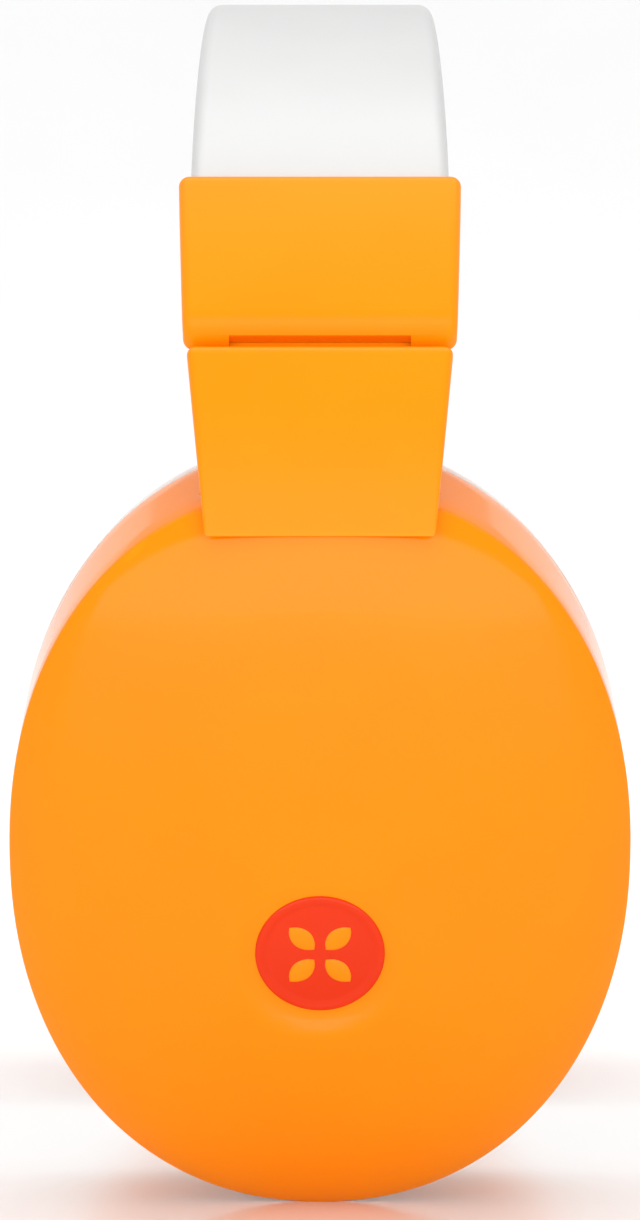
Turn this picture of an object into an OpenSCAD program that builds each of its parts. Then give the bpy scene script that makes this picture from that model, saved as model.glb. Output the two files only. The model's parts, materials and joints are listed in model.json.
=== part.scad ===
// Folding earmuff hearing protector, child's size.
// X runs from ear to ear, Y from back to front, Z up; it stands on its two cups.
// Everything is drawn for the right side (+X) and mirrored for the left.

/* [Headband] */
// Outer radius of the headband arch
arch_r = 86; // [85.6:0.1:86.4]
// Height of the whole earmuff, to the top of the arch
total_h = 168.2; // [168:0.1:168.6]
// Width of the headband, front to back
band_w = 35; // [34:0.2:35]
// Thickness of the headband, shell and liner together
band_t = 6; // [6:0.1:6.2]
// Thickness of the soft pad under the arch
pad_t = 5; // [3:0.5:6]

/* [Size slide] */
// Travel of each housing along the arch, in degrees about the arch centre
slide_travel = 12; // [10:1:15]
// Width of the stem that runs in the headband
stem_w = 24.2; // [22:0.1:24.2]
// Thickness of the stem
stem_t = 2.2; // [2:0.1:2.2]

/* [Housing and fold hinge] */
// Width of the housing at its top lip
house_top_w = 38.2; // [38:0.2:39]
// Width of the housing and of the arm where they meet
house_low_w = 35.4; // [35:0.2:36]
// Radius of the fold pin
fold_pin_r = 1.5; // [1.3:0.1:1.6]
// Width of the arm's tongue in the hinge
tongue_w = 24; // [22:0.5:24]

/* [Arm and cup pivot] */
// Radius of the arm's curved outer face
arm_r = 67; // [66.5:0.5:67.5]
// Width of the arm where it meets the cup
arm_low_w = 29.4; // [29:0.2:30]
// Radius of the cup pivot pin
pivot_pin_r = 1.5; // [1.3:0.1:1.7]

/* [Cup] */
// Width of the cup
cup_w = 83.2; // [82:0.2:85]
// Height of the cup along its own rim
cup_h = 102.4; // [102:0.2:103]
// Tilt of the cup, bottom inwards, in degrees
cup_tilt = 15.5; // [15.3:0.1:15.7]
// Depth of the cup body's side wall
wall_u = 20.6; // [20.4:0.1:20.8]
// Rise of the domed cover above the side wall
dome_rise = 10.8; // [10.4:0.1:11]
// Wall thickness of cup body and cover
skin = 2.2; // [2:0.1:2.4]
// Thickness of the ear cushion
cushion_t = 10.6; // [9:0.2:11]

/* [Hidden] */

orange = [1.0, 0.58, 0.04];
white = [0.95, 0.95, 0.94];
nylon = [0.88, 0.88, 0.86];
steel = [0.66, 0.67, 0.69];
foam_grey = [0.22, 0.22, 0.24];
emblem_red = [0.91, 0.22, 0.01];

// Clearances: pins in their bores, fixed faces, and moving faces
fit = 0.05;
seat = 0.1;
gap = 0.3;

// Radii of the layers of the arch, measured from its centre
arch_z = total_h - arch_r;
band_in = arch_r - band_t;
liner_t = 1.6;
channel_in = band_in + liner_t;
channel_out = channel_in + stem_t + 2 * gap;
stem_in = channel_in + gap;
stem_out = stem_in + stem_t;
channel_w = stem_w + 2 * gap;
house_under = 1.6;
house_over = 2.6;
house_in = band_in - house_under;
house_out = arch_r + house_over;

// Angles along the arch, up from the horizontal through its centre
pin_a = 25.9;
stem_low_a = 29.55;
house_top_a = 41.3;
band_end_a = 38;
pocket_a = 37.6;
stem_top_a = 74;
pad_end_a = 58;
housing_screw_a = 33.8;
housing_screw_gap = 14;

// Fold hinge: pin centre, and the reach of the parts around it
hinge_reach = 3.3;
hinge_gap = 0.5;
fold_pin_l = 32.6;
fold_bore_l = 33.2;
hinge_room = 20;
slot_depth = 0.8;
pin_r = house_in + hinge_reach;
pin_x = pin_r * cos(pin_a);
pin_z = arch_z + pin_r * sin(pin_a);
face_u = house_out - pin_r;
arm_top = hinge_reach + hinge_gap;

// Arm: it is bent about this centre
arm_t = hinge_reach + face_u;
arm_in = arm_r - arm_t;
arm_shell_t = 5.6;
arm_split = arm_r - arm_shell_t;
arm_cx = pin_x + (face_u - arm_r) * cos(pin_a) + arm_top * sin(pin_a);
arm_cz = pin_z + (face_u - arm_r) * sin(pin_a) - arm_top * cos(pin_a);
arm_low_a = -6;
arm_screw_a = 17.3;
arm_screw_gap = 16;
arm_cover_low_a = 5.8;
arm_cover_top_a = pin_a - 4;
cover_clear_r = 13;

// Cup: rear rim centre, and the pivot inside its top
rim_x = 52;
cover_u = wall_u + gap;
rim_z = cover_u * sin(cup_tilt) + cup_h / 2 * cos(cup_tilt);
pivot_x = 79.6;
pivot_z = 88.8;
knuckle_r = 8.7;
arm_end_r = knuckle_r + 0.35;
eye_r = 4.4;
eye_w = 12;
web_back = 2.6;
web_t = 6.2;
web_h = 13;
pivot_pin_l = 19.4;
notch_w = arm_low_w + 2.4;
notch_x = 73.9;
slot_front = 5.2;
slot_back = 5.6;
bulkhead_u = 9.3;
bulkhead_t = 2;
plate_t = 2.2;
plate_u = -plate_t - seat;
cushion_u = plate_u - seat - cushion_t;
hole_w = 34;
hole_h = 50;
emblem_r = 8.6;
emblem_w = -10.6;
emblem_t = 0.7;
emblem_u = cover_u + dome_rise - 0.85;

// Shape of the cup's outline and of the dome over it
oval_exp = 2.15;
oval_n = 60;
dome_rings = 9;
dome_exp = 2.2;
dome_round = 1.25;

function oval(w, h) = [for (i = [0:oval_n - 1])
    let (t = 360 * i / oval_n, c = cos(t), s = sin(t))
    [w / 2 * sign(c) * pow(abs(c), 2 / oval_exp), h / 2 * sign(s) * pow(abs(s), 2 / oval_exp)]];

// Height of the dome at a share q of the way from its middle to its edge
function dome_u(q, rise) = rise * pow(1 - pow(q, dome_exp), 1 / dome_round);

// Share of the way out of ring k: close together near the edge
function ring_q(k) = cos(90 * k / dome_rings);

function dome_points(w, h, base, rise) = concat(
    [for (k = [0:dome_rings - 1], p = oval(w, h))
        [p[0] * ring_q(k), p[1] * ring_q(k), base + dome_u(ring_q(k), rise)]],
    [[0, 0, base + rise]]);

// Faces of one dome skin; the points start at index o, and flip turns them inside out
function dome_faces(o, flip) = let (n = oval_n, tip = o + n * dome_rings) concat(
    [for (k = [0:dome_rings - 2], i = [0:n - 1])
        let (a = o + k * n + i, b = o + k * n + (i + 1) % n)
        flip ? [a, b, b + n] : [b + n, b, a]],
    [for (k = [0:dome_rings - 2], i = [0:n - 1])
        let (a = o + k * n + i, b = o + k * n + (i + 1) % n)
        flip ? [a, b + n, a + n] : [a + n, b + n, a]],
    [for (i = [0:n - 1])
        let (a = o + (dome_rings - 1) * n + i, b = o + (dome_rings - 1) * n + (i + 1) % n)
        flip ? [a, b, tip] : [tip, b, a]]);

module on_side(side) {
    mirror([side > 0 ? 0 : 1, 0, 0]) children();
}

// Local x, y, z of a cup: front to back, up along the rim, outwards
module on_cup() {
    translate([rim_x, 0, rim_z]) rotate([0, cup_tilt, 0]) rotate([90, 0, 90]) children();
}

// A bar bent about a Y axis through [cx, cz], with rounded long edges
module bent_bar(cx, cz, r_in, r_out, from, to, w, edge = 0.01) {
    translate([cx, 0, cz]) rotate([90, 0, 0])
        rotate_extrude(angle = to - from, start = from, $fn = 180)
            translate([(r_in + r_out) / 2, 0]) offset(edge, $fn = 20)
                square([r_out - r_in - 2 * edge, w - 2 * edge], center = true);
}

module arch_bar(r_in, r_out, from, to, w, edge = 0.01) {
    bent_bar(0, arch_z, r_in, r_out, from, to, w, edge);
}

// A flat shape in the X-Z plane, made thick along Y
module slab(w) {
    rotate([90, 0, 0]) linear_extrude(w, center = true) children();
}

// The frame of the fold hinge: x outwards, z up along the housing
module at_hinge() {
    translate([pin_x, 0, pin_z]) rotate([0, -pin_a, 0]) children();
}

module pin_y(r, w) {
    rotate([90, 0, 0]) cylinder(r = r, h = w, center = true, $fn = 48);
}

// Turns z to point outwards from a bend's centre, at an angle and a radius
module radial(cx, cz, a, r) {
    translate([cx + r * cos(a), 0, cz + r * sin(a)]) rotate([0, 90 - a, 0]) children();
}

module screw(length, r = 1.1, head_r = 2.1, head_h = 1.2) {
    cylinder(r = r, h = length, $fn = 24);
    difference() {
        translate([0, 0, -head_h]) cylinder(r = head_r, h = head_h, $fn = 32);
        translate([0, 0, -head_h - 0.1]) cylinder(r = 0.9, h = 0.8, $fn = 6);
    }
}

module screw_hole(length, r = 1.2, head_r = 2.3, head_h = 1.3) {
    translate([0, 0, -0.01]) cylinder(r = r, h = length + 0.3, $fn = 24);
    translate([0, 0, -head_h - 6]) cylinder(r = head_r, h = head_h + 6, $fn = 32);
}

// Two screws or holes side by side
module pair_y(spacing) {
    for (s = [-1, 1]) translate([0, s * spacing / 2, 0]) children();
}

/* Headband */

module headband_section() {
    offset(2, $fn = 24) square([band_t - 4, band_w - 4], center = true);
}

module headband_arc() {
    translate([0, 0, arch_z]) rotate([90, 0, 0])
        rotate_extrude(angle = 180 - 2 * band_end_a, start = band_end_a, $fn = 180)
            translate([band_in + band_t / 2, 0]) children();
}

module headband_shell() {
    color(white) headband_arc() difference() {
        headband_section();
        translate([-band_t + liner_t, 0]) square([band_t, band_w + 2], center = true);
        translate([channel_in - band_in - band_t / 2 - 1, -channel_w / 2])
            square([channel_out - channel_in + 1, channel_w]);
    }
}

module headband_liner() {
    color(white) headband_arc() intersection() {
        headband_section();
        translate([-band_t + liner_t - seat / 2, 0]) square([band_t, band_w + 2], center = true);
    }
}

module headband_pad() {
    color(white) arch_bar(band_in - pad_t, band_in - seat, pad_end_a, 180 - pad_end_a, band_w - 4, 2);
}

/* Size slide and housing */

module slider_stem(side) {
    notches = 5;
    color(nylon) on_side(side) difference() {
        arch_bar(stem_in, stem_out, stem_low_a, stem_top_a, stem_w);
        radial(0, arch_z, housing_screw_a, stem_in) pair_y(housing_screw_gap)
            translate([0, 0, -1]) cylinder(r = 1.3, h = 5, $fn = 24);
        for (i = [1:notches], s = [-1, 1])
            radial(0, arch_z, band_end_a + 12 + i * slide_travel / notches, stem_in)
                translate([0, s * stem_w / 2, -1]) cylinder(r = 1, h = 5, $fn = 24);
    }
}

// Sides that lean in towards the bottom, from the top lip to the hinge
module side_taper(w_top, z_top, w_low, z_low) {
    rotate([90, 0, 90]) linear_extrude(400, center = true)
        polygon([[-w_low / 2, z_low], [w_low / 2, z_low], [w_top / 2, z_top], [-w_top / 2, z_top]]);
}

module house_taper() {
    top = arch_z + house_out * sin(house_top_a);
    low = pin_z - 10;
    side_taper(house_top_w, top + 1, house_low_w, low);
}

// Room for the end of the headband in the top of the housing
module band_pocket() {
    arch_bar(band_in - 0.4, arch_r + 0.4, pocket_a, house_top_a + 6, band_w + 0.8);
}

module housing_holes() {
    band_pocket();
    arch_bar(stem_in - 0.05, stem_out + seat, stem_low_a - 0.3, pocket_a + 2, stem_w + 2 * seat);
    radial(0, arch_z, housing_screw_a, stem_in - 1.3) pair_y(housing_screw_gap) screw_hole(5.5);
}

module housing_outer(side) {
    color(orange) on_side(side) difference() {
        intersection() {
            union() {
                arch_bar(house_in, house_out, pin_a, stem_low_a - 0.6, house_top_w, 0.4);
                arch_bar(stem_in, house_out, stem_low_a - 0.6, house_top_a, house_top_w, 0.4);
                at_hinge() pin_y(hinge_reach, house_top_w);
                at_hinge() translate([0, -house_top_w / 2, -hinge_reach])
                    cube([face_u, house_top_w, hinge_reach + 0.5]);
            }
            house_taper();
        }
        housing_holes();
        // Room for the tongue, and the slot that shows in the lower edge
        at_hinge() translate([-hinge_room, -tongue_w / 2 - gap, -hinge_room])
            cube([hinge_room + hinge_reach + 0.2, tongue_w + 2 * gap, hinge_room + hinge_reach + 0.2]);
        at_hinge() translate([0, -tongue_w / 2, -hinge_room])
            cube([hinge_room, tongue_w, hinge_room - hinge_reach + slot_depth]);
        at_hinge() pin_y(fold_pin_r + fit, fold_bore_l);
    }
}

module housing_inner(side) {
    color(orange) on_side(side) difference() {
        intersection() {
            arch_bar(house_in, stem_in - seat, stem_low_a - 0.3, house_top_a, house_top_w, 0.4);
            house_taper();
        }
        housing_holes();
    }
}

module housing_screws(side) {
    color(steel) on_side(side) radial(0, arch_z, housing_screw_a, stem_in - 1.3)
        pair_y(housing_screw_gap) screw(5.5);
}

module fold_pin(side) {
    color(steel) on_side(side) at_hinge() pin_y(fold_pin_r, fold_pin_l);
}

/* Arm */

module arm_taper() {
    side_taper(house_low_w, pin_z - arm_top * cos(pin_a) + face_u * sin(pin_a), arm_low_w, pivot_z);
}

module arm_blank(r_in, r_out, from = arm_low_a, to = pin_a) {
    difference() {
        intersection() {
            bent_bar(arm_cx, arm_cz, r_in, r_out, from, to, house_low_w, 0.4);
            arm_taper();
        }
        translate([pivot_x, 0, pivot_z]) pin_y(arm_end_r, 60);
        translate([pivot_x - 20, -30, pivot_z - 30]) cube([60, 60, 30]);
    }
}

module arm_holes() {
    radial(arm_cx, arm_cz, arm_screw_a, arm_split - 2.4) pair_y(arm_screw_gap) screw_hole(6);
    at_hinge() pin_y(fold_pin_r + fit, 60);
    translate([pivot_x, 0, pivot_z]) pin_y(pivot_pin_r + fit, 60);
}

module arm(side) {
    color(orange) on_side(side) difference() {
        union() {
            arm_blank(arm_split, arm_r);
            at_hinge() pin_y(hinge_reach - 0.1, tongue_w);
            at_hinge() translate([-hinge_reach + 0.1, -tongue_w / 2, -arm_top - 1])
                cube([2 * hinge_reach - 0.2, tongue_w, arm_top + 1]);
            translate([pivot_x, 0, pivot_z]) pin_y(eye_r, eye_w);
            translate([pivot_x - web_back, -eye_w / 2, pivot_z]) cube([web_t, eye_w, web_h]);
        }
        arm_holes();
        difference() {
            bent_bar(arm_cx, arm_cz, arm_in - 3, arm_split,
                arm_cover_low_a - 0.2, arm_cover_top_a + 0.2, eye_w + 40);
            translate([pivot_x, 0, pivot_z]) pin_y(cover_clear_r, 60);
        }
    }
}

module arm_cover(side) {
    color(orange) on_side(side) difference() {
        arm_blank(arm_in, arm_split - seat, arm_cover_low_a, arm_cover_top_a);
        arm_holes();
        translate([pivot_x, 0, pivot_z]) pin_y(cover_clear_r + seat, 60);
    }
}

module arm_screws(side) {
    color(steel) on_side(side) radial(arm_cx, arm_cz, arm_screw_a, arm_split - 2.4)
        pair_y(arm_screw_gap) screw(6);
}

/* Cup */

module pivot_pin(side) {
    color(steel) on_side(side) translate([pivot_x, 0, pivot_z]) pin_y(pivot_pin_r, pivot_pin_l);
}

// Place of the pivot in the cup's own frame: up along the rim, and outwards
pivot_up = (pivot_x - rim_x) * sin(cup_tilt) + (pivot_z - rim_z) * cos(cup_tilt);
pivot_out = (pivot_x - rim_x) * cos(cup_tilt) - (pivot_z - rim_z) * sin(cup_tilt);
bracket_screw_y = 13.4;
bracket_base = bulkhead_u + bulkhead_t;
bracket_foot = 1.6;

module pivot_bracket(side) {
    ear_t = 3.4;
    ear_r = 4;
    color(nylon) on_side(side) on_cup() difference() {
        union() {
            for (s = [-1, 1]) {
                translate([s * (eye_w / 2 + gap + ear_t / 2), pivot_up, pivot_out])
                    rotate([0, 90, 0]) cylinder(r = ear_r, h = ear_t, center = true, $fn = 48);
                translate([s * (eye_w / 2 + gap + ear_t / 2) - ear_t / 2, pivot_up - ear_r, bracket_base])
                    cube([ear_t, 2 * ear_r, pivot_out - bracket_base]);
            }
            translate([-16.4, pivot_up - ear_r, bracket_base]) cube([32.8, 2 * ear_r, bracket_foot]);
        }
        translate([0, pivot_up, pivot_out]) rotate([0, 90, 0])
            cylinder(r = pivot_pin_r + fit, h = 40, center = true, $fn = 48);
        for (s = [-1, 1]) translate([s * bracket_screw_y, pivot_up, bracket_base - 2])
            cylinder(r = 1.2, h = 6, $fn = 24);
        translate([0, pivot_up, pivot_out]) rotate([0, 90, 0])
            cylinder(r = eye_r + 0.2, h = eye_w + 2 * gap, center = true, $fn = 48);
    }
}

module bracket_screws(side) {
    color(steel) on_side(side) on_cup() for (s = [-1, 1])
        translate([s * bracket_screw_y, pivot_up, bracket_base + bracket_foot])
            rotate([180, 0, 0]) screw(3.4);
}

// Room that the arm needs in the cup's top, in the X-Z plane
module arm_notch() {
    slab(notch_w) difference() {
        translate([notch_x, pivot_z]) square([30, 30]);
        translate([pivot_x, pivot_z]) circle(knuckle_r, $fn = 96);
    }
    slab(eye_w + 2 * gap + 0.6)
        translate([pivot_x - slot_back, pivot_z]) square([slot_back + slot_front, 20]);
}

cover_posts = [[-24, -6], [24, -6], [0, -34]];

module cup_body(side) {
    color(orange) on_side(side) difference() {
        on_cup() difference() {
            linear_extrude(wall_u) polygon(oval(cup_w, cup_h));
            translate([0, 0, -1]) linear_extrude(bulkhead_u + 1)
                polygon(oval(cup_w - 2 * skin, cup_h - 2 * skin));
            translate([0, 0, bracket_base]) linear_extrude(wall_u)
                polygon(oval(cup_w - 2 * skin, cup_h - 2 * skin));
            for (p = cover_posts) translate([p[0], p[1], 0]) cylinder(r = 1.2, h = 30, $fn = 24);
            for (s = [-1, 1]) translate([s * bracket_screw_y, pivot_up, bulkhead_u - 1])
                cylinder(r = 1.15, h = 6, $fn = 24);
        }
        arm_notch();
    }
}

module cup_cover(side) {
    n = oval_n * dome_rings;
    in_w = cup_w - 2 * skin;
    in_h = cup_h - 2 * skin;
    base = [for (i = [0:oval_n - 1]) let (j = (i + 1) % oval_n) [i, j, n + 1 + j, n + 1 + i]];
    color(orange) on_side(side) difference() {
        on_cup() union() {
            difference() {
                polyhedron(concat(dome_points(cup_w, cup_h, cover_u, dome_rise),
                    dome_points(in_w, in_h, cover_u, dome_rise - skin)),
                    concat(dome_faces(0, false), dome_faces(n + 1, true), base));
                translate([0, emblem_w, emblem_u - 0.05]) cylinder(r = emblem_r + seat, h = 10, $fn = 64);
            }
            for (p = cover_posts) translate([p[0], p[1], bracket_base + seat])
                difference() {
                    cylinder(r = 3, h = dome_post(p) - bracket_base - seat, $fn = 32);
                    translate([0, 0, -1]) cylinder(r = 1.15, h = 8, $fn = 24);
                }
        }
        arm_notch();
    }
}

// Height at which a post meets the underside of the dome
function dome_post(p) = let (
    q = pow(pow(abs(p[0]) * 2 / cup_w, oval_exp) + pow(abs(p[1]) * 2 / cup_h, oval_exp), 1 / oval_exp))
    cover_u + dome_u(q, dome_rise) - 1.2;

module cover_screws(side) {
    color(steel) on_side(side) on_cup() for (p = cover_posts)
        translate([p[0], p[1], bulkhead_u]) screw(7);
}

module emblem(side) {
    color(emblem_red) on_side(side) on_cup()
        translate([0, emblem_w, emblem_u]) cylinder(r = emblem_r, h = emblem_t, $fn = 64);
}

module foam_insert(side) {
    color(foam_grey) on_side(side) on_cup() difference() {
        translate([0, 0, 0.4]) linear_extrude(bulkhead_u - 2.2)
            polygon(oval(cup_w - 2 * skin - 1, cup_h - 2 * skin - 1));
        translate([0, 0, 4]) linear_extrude(10) polygon(oval(hole_w, hole_h));
    }
}

module cushion_plate(side) {
    color(white) on_side(side) on_cup() translate([0, 0, plate_u]) difference() {
        linear_extrude(plate_t) polygon(oval(cup_w - 2.4, cup_h - 2.4));
        translate([0, 0, -1]) linear_extrude(plate_t + 2) polygon(oval(hole_w + 4, hole_h + 4));
    }
}

module cushion_screen(side) {
    color(foam_grey) on_side(side) on_cup() translate([0, 0, plate_u + 0.4])
        linear_extrude(1.2) polygon(oval(hole_w + 3.6, hole_h + 3.6));
}

module ear_cushion(side) {
    // Each layer: how far it is drawn in, and where it starts and ends through the thickness
    layers = [[4.4, 0, 1.2], [2.2, 1.2, 3.2], [0.8, 3.2, cushion_t]];
    color(white) on_side(side) on_cup() translate([0, 0, cushion_u]) difference() {
        for (l = layers) translate([0, 0, l[1]]) linear_extrude(l[2] - l[1])
            polygon(oval(cup_w - 2 * l[0], cup_h - 2 * l[0]));
        translate([0, 0, -1]) linear_extrude(cushion_t + 2) polygon(oval(hole_w, hole_h));
    }
}

headband_shell();
headband_liner();
headband_pad();
slider_stem(1);  // slider_stem_right
slider_stem(-1);  // slider_stem_left
housing_outer(1);  // housing_outer_right
housing_outer(-1);  // housing_outer_left
housing_inner(1);  // housing_inner_right
housing_inner(-1);  // housing_inner_left
housing_screws(1);  // housing_screws_right
housing_screws(-1);  // housing_screws_left
fold_pin(1);  // fold_pin_right
fold_pin(-1);  // fold_pin_left
arm(1);  // arm_right
arm(-1);  // arm_left
arm_cover(1);  // arm_cover_right
arm_cover(-1);  // arm_cover_left
arm_screws(1);  // arm_screws_right
arm_screws(-1);  // arm_screws_left
pivot_pin(1);  // pivot_pin_right
pivot_pin(-1);  // pivot_pin_left
pivot_bracket(1);  // pivot_bracket_right
pivot_bracket(-1);  // pivot_bracket_left
bracket_screws(1);  // bracket_screws_right
bracket_screws(-1);  // bracket_screws_left
cup_body(1);  // cup_body_right
cup_body(-1);  // cup_body_left
cup_cover(1);  // cup_cover_right
cup_cover(-1);  // cup_cover_left
cover_screws(1);  // cover_screws_right
cover_screws(-1);  // cover_screws_left
emblem(1);  // emblem_right
emblem(-1);  // emblem_left
foam_insert(1);  // foam_insert_right
foam_insert(-1);  // foam_insert_left
cushion_plate(1);  // cushion_plate_right
cushion_plate(-1);  // cushion_plate_left
cushion_screen(1);  // cushion_screen_right
cushion_screen(-1);  // cushion_screen_left
ear_cushion(1);  // ear_cushion_right
ear_cushion(-1);  // ear_cushion_left
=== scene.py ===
import json
import math

import bmesh
import bpy
from mathutils import Matrix, Vector, noise
from mathutils.bvhtree import BVHTree


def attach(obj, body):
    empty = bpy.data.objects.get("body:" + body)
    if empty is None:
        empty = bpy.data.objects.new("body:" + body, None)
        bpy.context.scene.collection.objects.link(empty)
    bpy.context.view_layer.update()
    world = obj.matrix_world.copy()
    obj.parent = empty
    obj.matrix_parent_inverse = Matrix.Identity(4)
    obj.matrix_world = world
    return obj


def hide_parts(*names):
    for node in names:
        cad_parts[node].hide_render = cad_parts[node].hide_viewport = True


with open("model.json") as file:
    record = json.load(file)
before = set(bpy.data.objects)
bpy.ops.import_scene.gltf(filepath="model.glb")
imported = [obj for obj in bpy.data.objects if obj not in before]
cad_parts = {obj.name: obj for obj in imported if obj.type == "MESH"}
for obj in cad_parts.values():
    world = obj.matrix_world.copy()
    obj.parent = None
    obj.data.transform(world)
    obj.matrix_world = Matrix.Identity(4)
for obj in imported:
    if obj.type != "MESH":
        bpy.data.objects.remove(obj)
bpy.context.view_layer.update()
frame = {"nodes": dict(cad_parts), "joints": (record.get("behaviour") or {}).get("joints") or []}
NODES = frame["nodes"]
JOINTS = {j["name"]: j for j in frame["joints"]}
MM = 0.001
WELD_GAP = 2e-6
FLAT_ANGLE = math.radians(0.4)
EDGE_ANGLE = math.radians(35)

# ---------------------------------------------------------------- sizes, in millimetres

ARCH_Z = JOINTS["size_slide_right"]["pos_m"][2] / MM
PIN_X, _, PIN_Z = (v / MM for v in JOINTS["fold_right"]["pos_m"])
PIVOT_X, _, PIVOT_Z = (v / MM for v in JOINTS["cup_tilt_right"]["pos_m"])

BAND_IN, BAND_OUT = 80.0, 86.0
BAND_END = 38.0
BAND_W_END, BAND_W_CROWN = 35.0, 32.6
LINER_R = 81.6
CHANNEL_R = 84.4
CHANNEL_W = 24.8

CUP_W, CUP_H = 83.2, 102.4
CUP_TILT = math.radians(15.5)
SKIN = 2.2
WALL_U = 20.6
COVER_U = 20.9
DOME_RISE = 10.8
DOME_EXP = 2.2
DOME_ROUND = 1.25
OVAL_EXP = 2.15
BULK_LOW, BULK_HIGH = 9.3, 11.3
RIM_X = 52.0
RIM_Z = COVER_U * math.sin(CUP_TILT) + CUP_H / 2 * math.cos(CUP_TILT)
HOLE_W, HOLE_H = 34.0, 50.0
CUSHION_TOP, CUSHION_LOW = -2.4, -13.0

PAD_END, PAD_LOW, PAD_TOP, PAD_W = 58.0, 75.0, 79.9, 31.0
SEAM_IN = 4.0
PAD_FILL = 0.6

KNUCKLE_R = 8.7
NOTCH_W, NOTCH_X = 31.8, 73.9
SLOT_W, SLOT_FRONT, SLOT_BACK = 13.2, 5.2, 5.6

EMBLEM_W, EMBLEM_R, INLAY_H = -10.6, 8.6, 0.42
DISH_R, DISH_EDGE, DISH_DEPTH = 9.2, 12.0, 0.95
DISH_TILT = math.tan(math.radians(7.5))

# ---------------------------------------------------------------- mesh helpers


def cup_point(y, w, u):
    """A point of the right cup: front to back, up along the rim, outwards."""
    c, s = math.cos(CUP_TILT), math.sin(CUP_TILT)
    return Vector((RIM_X + u * c + w * s, y, RIM_Z - u * s + w * c)) * MM


def arch_point(r, a, y):
    """A point at a radius and an angle in degrees about the centre of the arch."""
    t = math.radians(a)
    return Vector((r * math.cos(t), y, ARCH_Z + r * math.sin(t))) * MM


def ease(t):
    """A smooth step from 0 to 1, held at both ends."""
    t = min(1.0, max(0.0, t))
    return t * t * (3 - 2 * t)


def oval(t, width, height):
    c, s = math.cos(t), math.sin(t)
    p = 2 / OVAL_EXP
    return (width / 2 * math.copysign(abs(c) ** p, c), height / 2 * math.copysign(abs(s) ** p, s))


def oval_ring(width, height, u, n=160):
    if width <= 0:
        return [cup_point(0, 0, u)]
    return [cup_point(*oval(2 * math.pi * i / n, width, height), u) for i in range(n)]


def skin_rings(rings, close=False, caps=False):
    """Joins rings of points into one surface; a ring of one point closes an end."""
    verts, index, faces = [], [], []
    for ring in rings:
        index.append(list(range(len(verts), len(verts) + len(ring))))
        verts += ring
    for a, b in zip(index, index[1:] + ([index[0]] if close else [])):
        n = max(len(a), len(b))
        for i in range(n):
            j = (i + 1) % n
            loop = [a[i % len(a)], a[j % len(a)], b[j % len(b)], b[i % len(b)]]
            face = list(dict.fromkeys(loop))
            if len(face) > 2:
                faces.append(face)
    if caps:
        faces += [index[0][::-1], index[-1]]
    return verts, faces


def add_mesh(name, verts, faces):
    mesh = bpy.data.meshes.new(name)
    mesh.from_pydata([tuple(v) for v in verts], [], faces)
    obj = bpy.data.objects.new(name, mesh)
    bpy.context.scene.collection.objects.link(obj)
    bm = bmesh.new()
    bm.from_mesh(mesh)
    bmesh.ops.remove_doubles(bm, verts=bm.verts, dist=1e-7)
    bmesh.ops.recalc_face_normals(bm, faces=bm.faces)
    bm.to_mesh(mesh)
    bm.free()
    return obj


def smooth(obj, angle=32):
    obj.data.shade_smooth()
    obj.data.set_sharp_from_angle(angle=math.radians(angle))
    return obj


def apply_all(obj):
    """Bakes the object's modifiers into its mesh."""
    deps = bpy.context.evaluated_depsgraph_get()
    mesh = bpy.data.meshes.new_from_object(obj.evaluated_get(deps))
    obj.modifiers.clear()
    old = obj.data
    obj.data = mesh
    mesh.name = obj.name
    bpy.data.meshes.remove(old)
    return obj


def weighted(obj):
    mod = obj.modifiers.new("weighted", "WEIGHTED_NORMAL")
    mod.keep_sharp = True
    return obj


def cut(obj, *cutters):
    for cutter in cutters:
        mod = obj.modifiers.new("cut", "BOOLEAN")
        mod.operation = "DIFFERENCE"
        mod.solver = "EXACT"
        mod.object = cutter
    apply_all(obj)
    for cutter in cutters:
        bpy.data.objects.remove(cutter)
    return obj


def slab(name, outline, width):
    """A flat X-Z outline made thick along Y."""
    back = [Vector((x, -width / 2, z)) * MM for x, z in outline]
    front = [Vector((x, width / 2, z)) * MM for x, z in outline]
    verts, faces = skin_rings([back, front], caps=True)
    return add_mesh(name, verts, faces)


def notch_cutters():
    """The room that the arm and its knuckle need in the top of a cup."""
    start = math.acos((NOTCH_X - PIVOT_X) / KNUCKLE_R)
    arc = [start * (1 - i / 24) for i in range(25)]
    outline = [(NOTCH_X, PIVOT_Z + 30), (NOTCH_X, PIVOT_Z + KNUCKLE_R * math.sin(start))]
    outline += [(PIVOT_X + KNUCKLE_R * math.cos(a), PIVOT_Z + KNUCKLE_R * math.sin(a)) for a in arc[1:]]
    outline += [(NOTCH_X + 30, PIVOT_Z), (NOTCH_X + 30, PIVOT_Z + 30)]
    low, high = PIVOT_Z + 0.01, PIVOT_Z + 20
    slot = [(PIVOT_X - SLOT_BACK, low), (PIVOT_X + SLOT_FRONT, low),
            (PIVOT_X + SLOT_FRONT, high), (PIVOT_X - SLOT_BACK, high)]
    return slab("notch", outline, NOTCH_W), slab("slot", slot, SLOT_W)


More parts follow.
